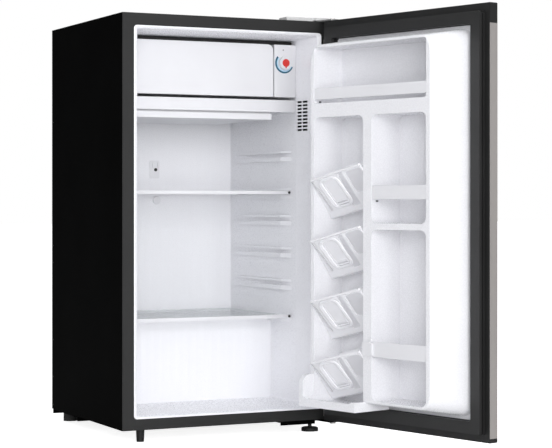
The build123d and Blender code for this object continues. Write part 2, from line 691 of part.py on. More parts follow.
with BuildPart() as hinge_screws:
    for screw in SCREWS:
        upright(screw, 2.2, (TOP, PLATE_Z[1]))
        upright(screw, 4, (PLATE_Z[1], PLATE_Z[1] + 2))
    for screw in BRACKET_SCREWS:
        upright(screw, 2.2, (BRACKET_Z[0], FOOT))
        upright(screw, 4, (BRACKET_Z[0] - 2.4, BRACKET_Z[0]))
hinge_screws.part.label = "hinge_screws"
export_step(hinge_screws.part, "parts/hinge_screws.step")

with BuildPart() as hinge_pins:
    upright(PIN, PIN_R, (TOP - 18, PLATE_Z[1]))
    upright(PIN, PIN_R + 1.6, (PLATE_Z[1], PLATE_Z[1] + 1.6))
    upright(PIN, PIN_R, (BRACKET_Z[0], FOOT + 20))
    upright(PIN, PIN_R + 2, (BRACKET_Z[0] - 3, BRACKET_Z[0]))
hinge_pins.part.label = "hinge_pins"
export_step(hinge_pins.part, "parts/hinge_pins.step")

# ---------------------------------------------------------------- door

SKIN = 0.8
CORNER = 5.0
SKIN_Z = (DOOR_Z[0] + BOTTOM_CAP, DOOR_Z[1] - TOP_CAP)
FRAME_Y = (INNER - 3.0, INNER)
FLANGE_Y = (FRAME_Y[0] - LINER, FRAME_Y[0])
RIM_OPENING = RIM + GASKET
BUSH_R = 8.0
BUSH_LENGTH = 22.0
FLANGE_LAP = 8.0
WINDOW_X = (-HALF + RIM_OPENING, HALF - RIM_OPENING)
WINDOW_Z = (DOOR_Z[0] + RIM_OPENING, DOOR_Z[1] - RIM_OPENING)


def door_slab(z, inset=0.0, mode=Mode.ADD):
    """The door's flat body between two levels, its outer long edges rounded, shrunk by inset."""
    with BuildSketch(Plane.XY.offset(z[0])) as plan:
        with Locations((0, (OUTER + inset + INNER) / 2)):
            Rectangle(WIDTH - 2 * inset, INNER - OUTER - inset)
        fillet(plan.vertices().group_by(Axis.Y)[0], CORNER - inset)
    extrude(plan.sketch, amount=z[1] - z[0], mode=mode)


with BuildPart() as door_skin:
    door_slab(SKIN_Z)
    door_slab((SKIN_Z[0] - 1, SKIN_Z[1] + 1), SKIN, Mode.SUBTRACT)
swing_open(door_skin)
door_skin.part.label = "door_skin"
export_step(door_skin.part, "parts/door_skin.step")

with BuildPart() as door_top_cap:
    door_slab((SKIN_Z[1], DOOR_Z[1]))
    fillet(door_top_cap.edges().group_by(Axis.Z)[-1], 2)
    block((-HALF + SKIN, HALF - SKIN), FRAME_Y, (SKIN_Z[1] - 1, DOOR_Z[1] - 2), Mode.SUBTRACT)
    lap_x = (WINDOW_X[0] - FLANGE_LAP, WINDOW_X[1] + FLANGE_LAP)
    block(lap_x, (FLANGE_Y[0], INNER), (SKIN_Z[1] - 1, WINDOW_Z[1] + FLANGE_LAP), Mode.SUBTRACT)
    upright(PIN, BUSH_R, (DOOR_Z[1] - BUSH_LENGTH, DOOR_Z[1] + 1), Mode.SUBTRACT)
swing_open(door_top_cap)
door_top_cap.part.label = "door_top_cap"
export_step(door_top_cap.part, "parts/door_top_cap.step")

with BuildPart() as door_bottom_cap:
    door_slab((DOOR_Z[0], SKIN_Z[0]))
    fillet(door_bottom_cap.edges().group_by(Axis.Z)[0], 2)
    block((-HALF + SKIN, HALF - SKIN), FRAME_Y, (DOOR_Z[0] + 2, SKIN_Z[0] + 1), Mode.SUBTRACT)
    upright(PIN, BUSH_R, (DOOR_Z[0] - 1, SKIN_Z[0] + 1), Mode.SUBTRACT)
swing_open(door_bottom_cap)
door_bottom_cap.part.label = "door_bottom_cap"
export_step(door_bottom_cap.part, "parts/door_bottom_cap.step")

with BuildPart() as door_bushes:
    upright(PIN, BUSH_R, (DOOR_Z[1] - BUSH_LENGTH, DOOR_Z[1]))
    upright(PIN, BUSH_R, (DOOR_Z[0], DOOR_Z[0] + BUSH_LENGTH))
    upright(PIN, PIN_R + RUNNING, (DOOR_Z[1] - BUSH_LENGTH + 2, DOOR_Z[1] + 1), Mode.SUBTRACT)
    upright(PIN, PIN_R + RUNNING, (DOOR_Z[0] - 1, DOOR_Z[0] + BUSH_LENGTH - 1), Mode.SUBTRACT)
swing_open(door_bushes)
door_bushes.part.label = "door_bushes"
export_step(door_bushes.part, "parts/door_bushes.step")

with BuildPart() as door_frame:
    block((-HALF + SKIN, HALF - SKIN), FRAME_Y, (DOOR_Z[0] + 2, DOOR_Z[1] - 2))
    rounded_slab(WINDOW_X, (FRAME_Y[0] - 1, FRAME_Y[1] + 1), WINDOW_Z, 6, Mode.SUBTRACT)
swing_open(door_frame)
door_frame.part.label = "door_frame"
export_step(door_frame.part, "parts/door_frame.step")

GASKET_X = (-HALF + RIM, HALF - RIM)
GASKET_Z = (DOOR_Z[0] + RIM, DOOR_Z[1] - RIM)


def gasket_ring(y, inset, mode=Mode.ADD):
    """A rectangular ring that follows the gasket, its section narrowed by inset on both sides."""
    with BuildSketch(Plane.XZ.offset(-y[0])) as ring:
        with Locations((0, sum(GASKET_Z) / 2)):
            outer = (GASKET_X[1] - GASKET_X[0] - 2 * inset, GASKET_Z[1] - GASKET_Z[0] - 2 * inset)
            RectangleRounded(outer[0], outer[1], 5)
            hole = 2 * (GASKET - 2 * inset)
            RectangleRounded(outer[0] - hole, outer[1] - hole, 4, mode=Mode.SUBTRACT)
    extrude(ring.sketch, amount=-(y[1] - y[0]), mode=mode)


with BuildPart() as door_gasket:
    gasket_ring((INNER, INNER + 3), 0)
    gasket_ring((INNER + 3, INNER + 6), 4)
    gasket_ring((INNER + 6, INNER + GASKET_THICK), 1)
    gasket_ring((INNER + 8, INNER + GASKET_THICK - 1.5), 6, Mode.SUBTRACT)
swing_open(door_gasket)
door_gasket.part.label = "door_gasket"
export_step(door_gasket.part, "parts/door_gasket.step")

with BuildPart() as gasket_magnet:
    gasket_ring((INNER + 8, INNER + GASKET_THICK - 1.5), 6)
swing_open(gasket_magnet)
gasket_magnet.part.label = "gasket_magnet"
export_step(gasket_magnet.part, "parts/gasket_magnet.step")

# Heights and widths on the liner: s counts from the door's hinge edge, z from the floor
HILL_FOOT_S = (43.0, 415.0)
HILL_FOOT_Z = (70.0, 795.0)
HILL_TOP_S = (51.0, 388.0)
HILL_TOP_Z = (85.0, 781.0)
COLUMN_LEFT = (64.0, 206.0)
COLUMN_RIGHT = (229.0, 376.0)
TOP_POCKET_Z = (665.0, 776.0)
LEFT_COLUMN_Z = (75.0, 638.0)
RIGHT_UPPER_Z = (430.0, 638.0)
RIGHT_LOWER_Z = (90.0, 418.0)
BASIN_S = (51.0, 212.0)
BASIN_REACH = 111.0
BASIN_FLOOR = (68.0, 75.0)
BASIN_LIP_Z = 87.0
BASIN_EAR_Z = 130.0
WALL = 8.0
HINGE_ROUND = 34.0
FREE_ROUND = 14.0


def hill(shrink):
    """The raised mass of the liner, before its pockets are cut, shrunk by shrink."""
    foot_x = (from_hinge(HILL_FOOT_S[1]) + shrink, from_hinge(HILL_FOOT_S[0]) - shrink)
    top_x = (from_hinge(HILL_TOP_S[1]) + shrink, from_hinge(HILL_TOP_S[0]) - shrink)
    with BuildPart() as mass:
        with BuildSketch(Plane.XZ.offset(-FLANGE_Y[0])):
            with Locations((sum(foot_x) / 2, sum(HILL_FOOT_Z) / 2)):
                height = HILL_FOOT_Z[1] - HILL_FOOT_Z[0] - 2 * shrink
                RectangleRounded(foot_x[1] - foot_x[0], height, 26 - shrink)
        with BuildSketch(Plane.XZ.offset(-(INNER + RIDGE - shrink))):
            with Locations((sum(top_x) / 2, sum(HILL_TOP_Z) / 2)):
                height = HILL_TOP_Z[1] - HILL_TOP_Z[0] - 2 * shrink
                RectangleRounded(top_x[1] - top_x[0], height, 30 - shrink)
        loft()
        fillet(mass.faces().sort_by(Axis.Y)[-1].edges(), 5 - shrink)
        basin_x = (from_hinge(BASIN_S[1]) + shrink, from_hinge(BASIN_S[0]) - shrink)
        lip_y = (INNER + 20, INNER + BASIN_REACH - shrink)
        block(basin_x, lip_y, (BASIN_FLOOR[0] + shrink, BASIN_LIP_Z - shrink))
        ear_x = (from_hinge(BASIN_S[0] + WALL + 3) + shrink, basin_x[1])
        with BuildSketch(Plane.YZ.offset(ear_x[0])):
            with Locations((INNER + BASIN_REACH - 30 - shrink / 2, (BASIN_FLOOR[0] + BASIN_EAR_Z) / 2)):
                ear_height = BASIN_EAR_Z - BASIN_FLOOR[0] - 2 * shrink
                RectangleRounded(60 - shrink, ear_height, 20 - shrink)
        extrude(amount=ear_x[1] - ear_x[0])
    return mass.part


def pocket(s, z, grow, reach=200.0, top_round=14.0):
    """The tool that cuts one pocket, its back corners rounded, its walls moved out by grow."""
    x = (from_hinge(s[1]) - grow, from_hinge(s[0]) + grow)
    back = INNER + POCKET_BACK - grow
    with BuildPart() as tool:
        with BuildSketch(Plane.XY.offset(z[0] - grow)) as plan:
            with Locations((sum(x) / 2, (back + reach) / 2)):
                Rectangle(x[1] - x[0], reach - back)
            inner = plan.vertices().group_by(Axis.Y)[0].sort_by(Axis.X)
            fillet(inner[0], FREE_ROUND + grow)
            fillet(inner[1], HINGE_ROUND + grow)
        extrude(amount=z[1] - z[0] + 2 * grow)
        with BuildSketch(Plane.XZ.offset(-back)):
            with Locations((sum(x) / 2, sum(z) / 2)):
                RectangleRounded(x[1] - x[0], z[1] - z[0] + 2 * grow, top_round + grow)
        extrude(amount=-(reach - back), mode=Mode.INTERSECT)
    return tool.part


def liner_form(inset):
    """The solid under the liner's face: the hill less its pockets, its walls thinned by inset."""
    with BuildPart() as form:
        add(hill(inset))
        add(pocket((COLUMN_LEFT[0], COLUMN_RIGHT[1]), TOP_POCKET_Z, inset, top_round=6), mode=Mode.SUBTRACT)
        basin_reach = INNER + BASIN_REACH - WALL + inset
        add(pocket(COLUMN_LEFT, LEFT_COLUMN_Z, inset, basin_reach), mode=Mode.SUBTRACT)
        add(pocket(COLUMN_LEFT, (BASIN_LIP_Z - 4, LEFT_COLUMN_Z[1]), inset), mode=Mode.SUBTRACT)
        add(pocket(COLUMN_RIGHT, RIGHT_UPPER_Z, inset), mode=Mode.SUBTRACT)
        add(pocket(COLUMN_RIGHT, RIGHT_LOWER_Z, inset), mode=Mode.SUBTRACT)
    return form.part


liner_face = liner_form(0.0)
liner_back = liner_form(LINER)

with BuildPart() as door_liner:
    add(liner_face)
    block(lap_x, FLANGE_Y, (WINDOW_Z[0] - FLANGE_LAP, WINDOW_Z[1] + FLANGE_LAP))
    add(liner_back, mode=Mode.SUBTRACT)
swing_open(door_liner)
door_liner.part.label = "door_liner"
export_step(door_liner.part, "parts/door_liner.step")

with BuildPart() as door_foam:
    door_slab(SKIN_Z, SKIN)
    block((-HALF, HALF), (FLANGE_Y[0], INNER + 1), (0, 900), Mode.SUBTRACT)
    add(liner_back)
    upright(PIN, BUSH_R, (0, DOOR_Z[0] + BUSH_LENGTH), Mode.SUBTRACT)
swing_open(door_foam)
door_foam.part.label = "door_foam"
export_step(door_foam.part, "parts/door_foam.step")

BAR_T = 3.0
BAR_RETURN = 24.0
BAR_FOOT = 9.0


def retaining_bar(s, z):
    """A bar across a pocket: a flat front, a foot turned in, and a cheek at each end."""
    x = (from_hinge(s[1]) + 0.4, from_hinge(s[0]) - 0.4)
    front = INNER + RIDGE - 1
    rounded_slab(x, (front - BAR_T, front), z, 3)
    block((x[0] + 5, x[1] - 5), (front - BAR_FOOT, front - BAR_T / 2), (z[0], z[0] + 2))
    for cheek in ((x[0], x[0] + BAR_T), (x[1] - BAR_T, x[1])):
        block(cheek, (front - BAR_RETURN, front - BAR_T / 2), (z[0] + 4, z[1] - 4))


with BuildPart() as top_bar:
    retaining_bar((COLUMN_LEFT[0], COLUMN_RIGHT[1]), (673, 695))
swing_open(top_bar)
top_bar.part.label = "top_bar"
export_step(top_bar.part, "parts/top_bar.step")

with BuildPart() as middle_bar:
    retaining_bar(COLUMN_RIGHT, (476, 502))
swing_open(middle_bar)
middle_bar.part.label = "middle_bar"
export_step(middle_bar.part, "parts/middle_bar.step")

with BuildPart() as bottom_bar:
    retaining_bar(COLUMN_RIGHT, (175, 204))
    over_x = (from_hinge(COLUMN_RIGHT[0]), from_hinge(COLUMN_LEFT[1] + 1))
    rounded_slab(over_x, (INNER + RIDGE + 0.4, INNER + RIDGE + 0.4 + BAR_T), (175, 204), 3)
    bridge_x = (from_hinge(COLUMN_RIGHT[0]) - 4, from_hinge(COLUMN_RIGHT[0]))
    block(bridge_x, (INNER + RIDGE - 3, INNER + RIDGE + 0.4 + BAR_T), (178, 201))
swing_open(bottom_bar)
bottom_bar.part.label = "bottom_bar"
export_step(bottom_bar.part, "parts/bottom_bar.step")

# A can rack is a trough across the left column, tilted up towards the free side of the door
RACK_S = (COLUMN_LEFT[0] + 1.0, COLUMN_LEFT[1] - 1.0)
RACK_T = 2.4
RACK_MOUTH = (93.0, 514.0)
RACK_LOW = (43.0, 446.7)
RACK_BACK = 11.0
FRONT_SLOPE = math.degrees(math.atan2(RACK_MOUTH[1] - RACK_LOW[1], RACK_MOUTH[0] - RACK_LOW[0]))
# On the front face, a counts from the rack's left end and d down from its rim
TONGUE_GAP = [(74.0, 3.0), (87.0, 3.0), (81.0, 82.0), (59.0, 82.0)]
SIDE_GAP = [(94.0, 7.0), (139.0, 7.0), (139.0, 58.0), (89.0, 58.0)]
WINDOW = (38.0, 44.0)
WINDOW_PLACE = (43.0, 39.0)
WINDOW_DEPTH = 1.2
SLITS = [(40.0, 65.5), (40.0, 71.0)]
SLIT = (32.0, 2.6)


def rack_profile():
    """The trough seen along the door's width: a straight sloping front, a round bottom, a steep back."""
    above = 60.0
    reach = above / math.tan(math.radians(FRONT_SLOPE))
    with BuildSketch(Plane.YZ.offset(from_hinge(RACK_S[1]) - 40)) as profile:
        with BuildLine():
            Polyline(
                (INNER + RACK_MOUTH[0] + reach, RACK_MOUTH[1] + above),
                (INNER + RACK_BACK, RACK_MOUTH[1] + above),
                (INNER + RACK_BACK + 10, RACK_LOW[1] - 8),
                (INNER + RACK_LOW[0] - 5, RACK_LOW[1] - 8),
                (INNER + RACK_LOW[0], RACK_LOW[1]),
                close=True,
            )
        make_face()
        fillet(profile.vertices().group_by(Axis.Z)[0], 6)
        offset(amount=-RACK_T, mode=Mode.SUBTRACT)
        with BuildLine():
            Polyline(
                (INNER + RACK_MOUTH[0] + 100, RACK_MOUTH[1]),
                (INNER + RACK_MOUTH[0] + 100, RACK_MOUTH[1] + 200),
                (INNER - 100, RACK_MOUTH[1] + 200),
                (INNER - 100, RACK_MOUTH[1] + 14),
                (INNER + RACK_BACK, RACK_MOUTH[1] + 14),
                (INNER + RACK_MOUTH[0], RACK_MOUTH[1]),
                close=True,
            )
        make_face(mode=Mode.SUBTRACT)
    return profile.sketch


def can_rack(drop):
    """One rack, lowered by drop from the top one."""
    left_x = from_hinge(RACK_S[0])
    turn = Axis((left_x, 0, RACK_MOUTH[1]), (0, 1, 0))
    slope = math.radians(FRONT_SLOPE)
    rim_corner = (left_x, INNER + RACK_MOUTH[0], RACK_MOUTH[1])
    outward = (0, math.sin(slope), -math.cos(slope))
    # on this plane x runs along the rim from the rack's left end, and y runs down the front
    front_face = Plane(origin=rim_corner, x_dir=(-1, 0, 0), z_dir=[-part for part in outward])
    with BuildPart() as rack:
        extrude(rack_profile(), amount=RACK_S[1] - RACK_S[0] + 80)
        # a bead stiffens the front rim
        bead_y = (INNER + RACK_MOUTH[0] - 2, INNER + RACK_MOUTH[0] + 1.5)
        block((from_hinge(RACK_S[1]) - 40, left_x + 40), bead_y, (RACK_MOUTH[1] - 4, RACK_MOUTH[1]))
        # the front is open on both sides of a thin arm
        for gap, corner in ((TONGUE_GAP, 3), (SIDE_GAP, 8)):
            with BuildSketch(front_face.offset(-1)) as opening:
                with BuildLine():
                    Polyline(*gap, close=True)
                make_face()
                fillet(opening.vertices(), corner)
            extrude(amount=RACK_T + 2, mode=Mode.SUBTRACT)
        with BuildSketch(front_face.offset(-1)):
            with Locations(WINDOW_PLACE):
                RectangleRounded(WINDOW[0], WINDOW[1], 8)
        extrude(amount=WINDOW_DEPTH + 1, mode=Mode.SUBTRACT)
        with BuildSketch(front_face.offset(-1)):
            with Locations(*SLITS):
                SlotOverall(*SLIT)
        extrude(amount=RACK_T + 2, mode=Mode.SUBTRACT)
    tilted = rack.part.rotate(turn, RACK_TILT)
    room = pocket(COLUMN_LEFT, (LEFT_COLUMN_Z[0], TOP), -0.5)
    with BuildPart() as placed:
        add(tilted.moved(Location((0, 0, -drop))))
        add(room, mode=Mode.INTERSECT)
        column_x = (from_hinge(RACK_S[1]), left_x)
        block(column_x, (-100, 300), (0, 900), Mode.INTERSECT)
    return placed.part


rack_parts = [can_rack(RACK_PITCH * step) for step in range(4)]

with BuildPart() as can_rack_1:
    add(rack_parts[0])
swing_open(can_rack_1)
can_rack_1.part.label = "can_rack_1"
export_step(can_rack_1.part, "parts/can_rack_1.step")

with BuildPart() as can_rack_2:
    add(rack_parts[1])
swing_open(can_rack_2)
can_rack_2.part.label = "can_rack_2"
export_step(can_rack_2.part, "parts/can_rack_2.step")

with BuildPart() as can_rack_3:
    add(rack_parts[2])
swing_open(can_rack_3)
can_rack_3.part.label = "can_rack_3"
export_step(can_rack_3.part, "parts/can_rack_3.step")

with BuildPart() as can_rack_4:
    add(rack_parts[3])
swing_open(can_rack_4)
can_rack_4.part.label = "can_rack_4"
export_step(can_rack_4.part, "parts/can_rack_4.step")
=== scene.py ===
"""A compact refrigerator with its door standing open: materials, fine detail, light and camera."""

import json
import math

import bmesh
import bpy
from mathutils import Matrix, Vector


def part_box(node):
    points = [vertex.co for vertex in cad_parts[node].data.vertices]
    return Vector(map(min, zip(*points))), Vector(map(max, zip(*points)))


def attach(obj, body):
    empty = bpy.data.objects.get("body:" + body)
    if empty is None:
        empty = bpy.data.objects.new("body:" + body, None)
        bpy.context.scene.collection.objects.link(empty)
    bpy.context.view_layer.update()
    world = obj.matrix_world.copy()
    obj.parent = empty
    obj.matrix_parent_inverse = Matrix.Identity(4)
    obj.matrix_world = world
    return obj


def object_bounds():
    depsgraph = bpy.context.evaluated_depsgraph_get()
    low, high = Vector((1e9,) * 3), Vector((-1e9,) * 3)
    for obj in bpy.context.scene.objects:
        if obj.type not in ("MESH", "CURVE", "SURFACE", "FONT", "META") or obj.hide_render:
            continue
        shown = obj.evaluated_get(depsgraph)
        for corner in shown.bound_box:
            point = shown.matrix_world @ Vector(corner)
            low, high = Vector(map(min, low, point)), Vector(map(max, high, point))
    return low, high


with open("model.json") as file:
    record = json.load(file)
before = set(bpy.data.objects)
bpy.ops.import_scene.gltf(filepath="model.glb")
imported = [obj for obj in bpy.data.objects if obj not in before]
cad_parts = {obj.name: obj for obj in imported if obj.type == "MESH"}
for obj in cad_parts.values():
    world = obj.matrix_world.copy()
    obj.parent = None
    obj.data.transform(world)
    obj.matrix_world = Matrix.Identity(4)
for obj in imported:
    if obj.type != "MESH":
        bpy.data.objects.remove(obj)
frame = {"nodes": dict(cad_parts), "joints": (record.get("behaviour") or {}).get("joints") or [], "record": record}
CAD_BOX = [list(corner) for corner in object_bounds()]
NODES = frame["nodes"]
JOINTS = {joint["name"]: joint for joint in frame["joints"]}
MM = 0.001

# ---------------------------------------------------------------- materials


def ramp(tree, source, stops):
    """A colour ramp on a value, through evenly spread stops."""
    node = tree.nodes.new("ShaderNodeValToRGB")
    elements = node.color_ramp.elements
    while len(elements) < len(stops):
        elements.new(0.5)
    for index, colour in enumerate(stops):
        elements[index].position = 0.25 + 0.5 * index / max(1, len(stops) - 1)
        elements[index].color = (*colour, 1.0)
    tree.links.new(source, node.inputs["Fac"])
    return node.outputs["Color"]


def noise(tree, scale, stretch=(1.0, 1.0, 1.0), detail=3.0):
    """Noise in the piece's own coordinates, finer along an axis where stretch is larger."""
    coords = tree.nodes.new("ShaderNodeTexCoord")
    mapping = tree.nodes.new("ShaderNodeMapping")
    mapping.inputs["Scale"].default_value = stretch
    tree.links.new(coords.outputs["Object"], mapping.inputs["Vector"])
    texture = tree.nodes.new("ShaderNodeTexNoise")
    texture.inputs["Scale"].default_value = scale
    texture.inputs["Detail"].default_value = detail
    tree.links.new(mapping.outputs["Vector"], texture.inputs["Vector"])
    return texture.outputs["Fac"]


def lines(tree, pitch, axis):
    """Soft parallel lines at a pitch in metres, their places wandering a little."""
    coords = tree.nodes.new("ShaderNodeTexCoord")
    wave = tree.nodes.new("ShaderNodeTexWave")
    wave.wave_type = "BANDS"
    wave.bands_direction = axis
    wave.inputs["Scale"].default_value = 2 * math.pi / pitch / 20.0
    wave.inputs["Distortion"].default_value = 0.4
    tree.links.new(coords.outputs["Object"], wave.inputs["Vector"])
    return wave.outputs["Fac"]


def spread(tree, source, low, high):
    """A value from noise, mapped from its usual range to low .. high."""
    node = tree.nodes.new("ShaderNodeMapRange")
    node.inputs["From Min"].default_value = 0.3
    node.inputs["From Max"].default_value = 0.7
    node.inputs["To Min"].default_value = low
    node.inputs["To Max"].default_value = high
    tree.links.new(source, node.inputs["Value"])
    return node.outputs["Result"]


def bump(tree, source, height, before=None):
    """A bump from a value, on top of another bump where one is given."""
    node = tree.nodes.new("ShaderNodeBump")
    node.inputs["Strength"].default_value = 1.0
    node.inputs["Distance"].default_value = height
    tree.links.new(source, node.inputs["Height"])
    if before:
        tree.links.new(before, node.inputs["Normal"])
    return node.outputs["Normal"]


def surface(name, dark, light, roughness, patch=9.0, grain=900.0, grain_height=0.00002,
            stretch=(1.0, 1.0, 1.0), ribs=None, **sockets):
    """A finish whose colour and gloss wander between two values, with a fine grain in its surface."""
    material = bpy.data.materials.new(name)
    material.use_nodes = True
    tree = material.node_tree
    shader = tree.nodes["Principled BSDF"]
    wander = noise(tree, patch)
    grained = noise(tree, grain, stretch, 2.0)
    tree.links.new(ramp(tree, wander, [dark, light]), shader.inputs["Base Color"])
    tree.links.new(spread(tree, grained, *roughness), shader.inputs["Roughness"])
    normal = bump(tree, grained, grain_height)
    if ribs:
        pitch, axis, height = ribs
        normal = bump(tree, lines(tree, pitch, axis), height, normal)
    tree.links.new(normal, shader.inputs["Normal"])
    for socket, value in sockets.items():
        shader.inputs[socket.replace("_", " ")].default_value = value
    return material


def grey(value, tint=(1.0, 1.0, 1.0)):
    """A linear grey, tinted."""
    return tuple(value * part for part in tint)


LAVENDER = (0.985, 0.985, 1.02)
WARM = (1.06, 0.99, 0.95)

MATERIALS = {
    "black_steel": surface("black_paint", grey(0.0012), grey(0.002), (0.5, 0.58), grain=1400,
                           grain_height=0.00004, Specular_IOR_Level=0.006),
    "frame_steel": surface("frame_paint", grey(0.013), grey(0.018), (0.4, 0.5), Specular_IOR_Level=0.3),
    "white_liner": surface("liner_white", grey(0.81, LAVENDER), grey(0.83, LAVENDER), (0.22, 0.32),
                           grain=500, grain_height=0.00003),
    "liner_trim": surface("grille_plastic", grey(0.9, LAVENDER), grey(0.92, LAVENDER), (0.4, 0.5)),
    "foam": surface("rigid_foam", (0.72, 0.62, 0.36), (0.8, 0.7, 0.44), (0.8, 0.95), patch=60,
                    grain=700, grain_height=0.0003),
    "galvanised": surface("galvanised_sheet", grey(0.3), grey(0.46), (0.35, 0.55), patch=70,
                          Metallic=0.85),
    "steel": surface("zinc_plate", grey(0.42, WARM), grey(0.5), (0.25, 0.4), Metallic=1.0),
    "dark_tube": surface("tube_paint", grey(0.02), grey(0.03), (0.35, 0.5)),
    "aluminium": surface("rollbond_sheet", grey(0.7), grey(0.78), (0.35, 0.5), patch=30,
                         stretch=(1, 8, 1), Metallic=0.9),
    "white_plastic": surface("moulded_white", grey(0.74, LAVENDER), grey(0.77, LAVENDER), (0.28, 0.38),
                             grain=700),
    "dark_plastic": surface("moulded_black", grey(0.006), grey(0.01), (0.42, 0.55), grain=1200,
                            grain_height=0.00005, Specular_IOR_Level=0.3),
    "red_plastic": surface("moulded_red", (0.62, 0.03, 0.025), (0.7, 0.045, 0.035), (0.25, 0.35)),
    "black_enamel": surface("gloss_enamel", grey(0.006), grey(0.009), (0.12, 0.2)),
    "black_rubber": surface("soft_rubber", grey(0.012), grey(0.02), (0.6, 0.8)),
    "copper": surface("bare_copper", (0.55, 0.26, 0.15), (0.7, 0.36, 0.22), (0.25, 0.45), patch=50,
                      Metallic=1.0),
    "grey_plastic": surface("hinge_cover_grey", grey(0.56), grey(0.62), (0.4, 0.5)),
    "door_steel": surface("brushed_door", grey(0.36, WARM), grey(0.42, WARM), (0.34, 0.46), patch=4,
                          grain=260, grain_height=0.00003, stretch=(1, 1, 0.02), Metallic=0.75),
    "frame_plastic": surface("door_frame_plastic", grey(0.006), grey(0.009), (0.38, 0.5)),
    "gasket": surface("gasket_vinyl", grey(0.013), grey(0.018), (0.35, 0.5), grain=600),
    "magnet": surface("magnet_strip", grey(0.03, WARM), grey(0.04, WARM), (0.6, 0.8)),
    "glass": surface("shelf_glass", (0.8, 0.87, 0.86), (0.84, 0.9, 0.89), (0.03, 0.06), Alpha=0.3),
    # The rack plastic glows faintly white: painted light, standing in for light passing through the clear plastic
    "rack_plastic": surface("rack_plastic", grey(0.84, LAVENDER), grey(0.88, LAVENDER), (0.12, 0.2),
                            Alpha=0.6, Emission_Color=(1.0, 1.0, 1.0, 1.0), Emission_Strength=0.09),
}
# The cabinet's liner is the same white liner as the door's, made lighter than it as painted light to lift the
# deeper interior; its drawn lines are real
LINED_LIGHTENED = surface("liner_drawn_lightened", grey(0.92, LAVENDER), grey(0.93, LAVENDER), (0.24, 0.34), grain=500,
                ribs=(0.019, "X", 0.0003))
CLIP = surface("clip_plastic", grey(0.82, LAVENDER), grey(0.86, LAVENDER), (0.3, 0.4))
DARK_SCREW = surface("blacked_screw", grey(0.03), grey(0.05), (0.3, 0.45), Metallic=0.6)
ONE_OFF = {"cabinet_liner": LINED_LIGHTENED, "sensor_clip": CLIP, "wall_plug": CLIP, "sensor_clip_screw": DARK_SCREW}

for part in frame["record"]["subparts"]:
    node = NODES[part["node"]]
    node.data.materials.clear()
    node.data.materials.append(ONE_OFF.get(part["node"], MATERIALS[part["material_slot"]]))

# ---------------------------------------------------------------- pieces


def finish_piece(name, bm, body, material, bevel=0.0, smooth_under=40.0):
    """Turn a bmesh into a piece that rides on a body, with its edges softened."""
    bmesh.ops.recalc_face_normals(bm, faces=bm.faces)
    mesh = bpy.data.meshes.new(name)
    bm.to_mesh(mesh)
    bm.free()
    mesh.materials.append(material)
    piece = bpy.data.objects.new(name, mesh)
    bpy.context.scene.collection.objects.link(piece)
    mesh.shade_smooth()
    mesh.set_sharp_from_angle(angle=math.radians(smooth_under))
    if bevel:
        modifier = piece.modifiers.new("soft_edges", "BEVEL")
        modifier.width = bevel
        modifier.segments = 3
        modifier.limit_method = "ANGLE"
        modifier.harden_normals = True
    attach(piece, body)
    return piece


def stack(bm, place, loops, heights):
    """Walls between flat loops of equal length, one above another, taken to the world by place."""
    rings = []
    for loop, height in zip(loops, heights):
        rings.append([bm.verts.new(place @ Vector((x, y, height))) for x, y in loop])
    for low, high in zip(rings, rings[1:]):
        for index, vert in enumerate(low):
            after = (index + 1) % len(low)
            bm.faces.new((vert, low[after], high[after], high[index]))
    return rings


def solid(bm, place, loops, heights):
    """The same walls, with both ends closed by flat faces."""
    rings = stack(bm, place, loops, heights)
    bm.faces.new(rings[0])
    bm.faces.new(rings[-1])


def band(bm, place, outers, inners, heights):
    """A ring with a hole through it: outer and inner loops of equal length, joined at both ends."""
    outside = stack(bm, place, outers, heights)
    inside = stack(bm, place, inners, heights)
    count = len(outers[0])
    for end in (0, -1):
        for index in range(count):
            after = (index + 1) % count
            bm.faces.new((outside[end][index], outside[end][after], inside[end][after], inside[end][index]))


def rounded(width, height, radius, centre=(0.0, 0.0), steps=6):
    """A rounded rectangle as a loop of points."""
    points = []
    for quarter in range(4):
        side_x = 1 if quarter in (0, 3) else -1
        side_y = 1 if quarter in (0, 1) else -1
        for step in range(steps + 1):
            angle = math.radians(90 * (quarter + step / steps))
            points.append((centre[0] + side_x * (width / 2 - radius) + radius * math.cos(angle),
                           centre[1] + side_y * (height / 2 - radius) + radius * math.sin(angle)))
    return points


def circle(radius, centre=(0.0, 0.0), steps=32, squash=1.0):
    """A circle or an ellipse as a loop of points."""
    angles = [2 * math.pi * step / steps for step in range(steps)]
    return [(centre[0] + radius * math.cos(a), centre[1] + squash * radius * math.sin(a)) for a in angles]


def axes_at(origin, x_axis, y_axis):
    """A matrix whose local z points away from the plane of x_axis and y_axis."""
    x, y = Vector(x_axis).normalized(), Vector(y_axis).normalized()
    z = x.cross(y)
    matrix = Matrix((x, y, z)).transposed().to_4x4()
    matrix.translation = Vector(origin)
    return matrix


FRONT = ((1, 0, 0), (0, 0, 1))
BACK = ((-1, 0, 0), (0, 0, 1))
PRINT_DEPTH = 0.2 * MM


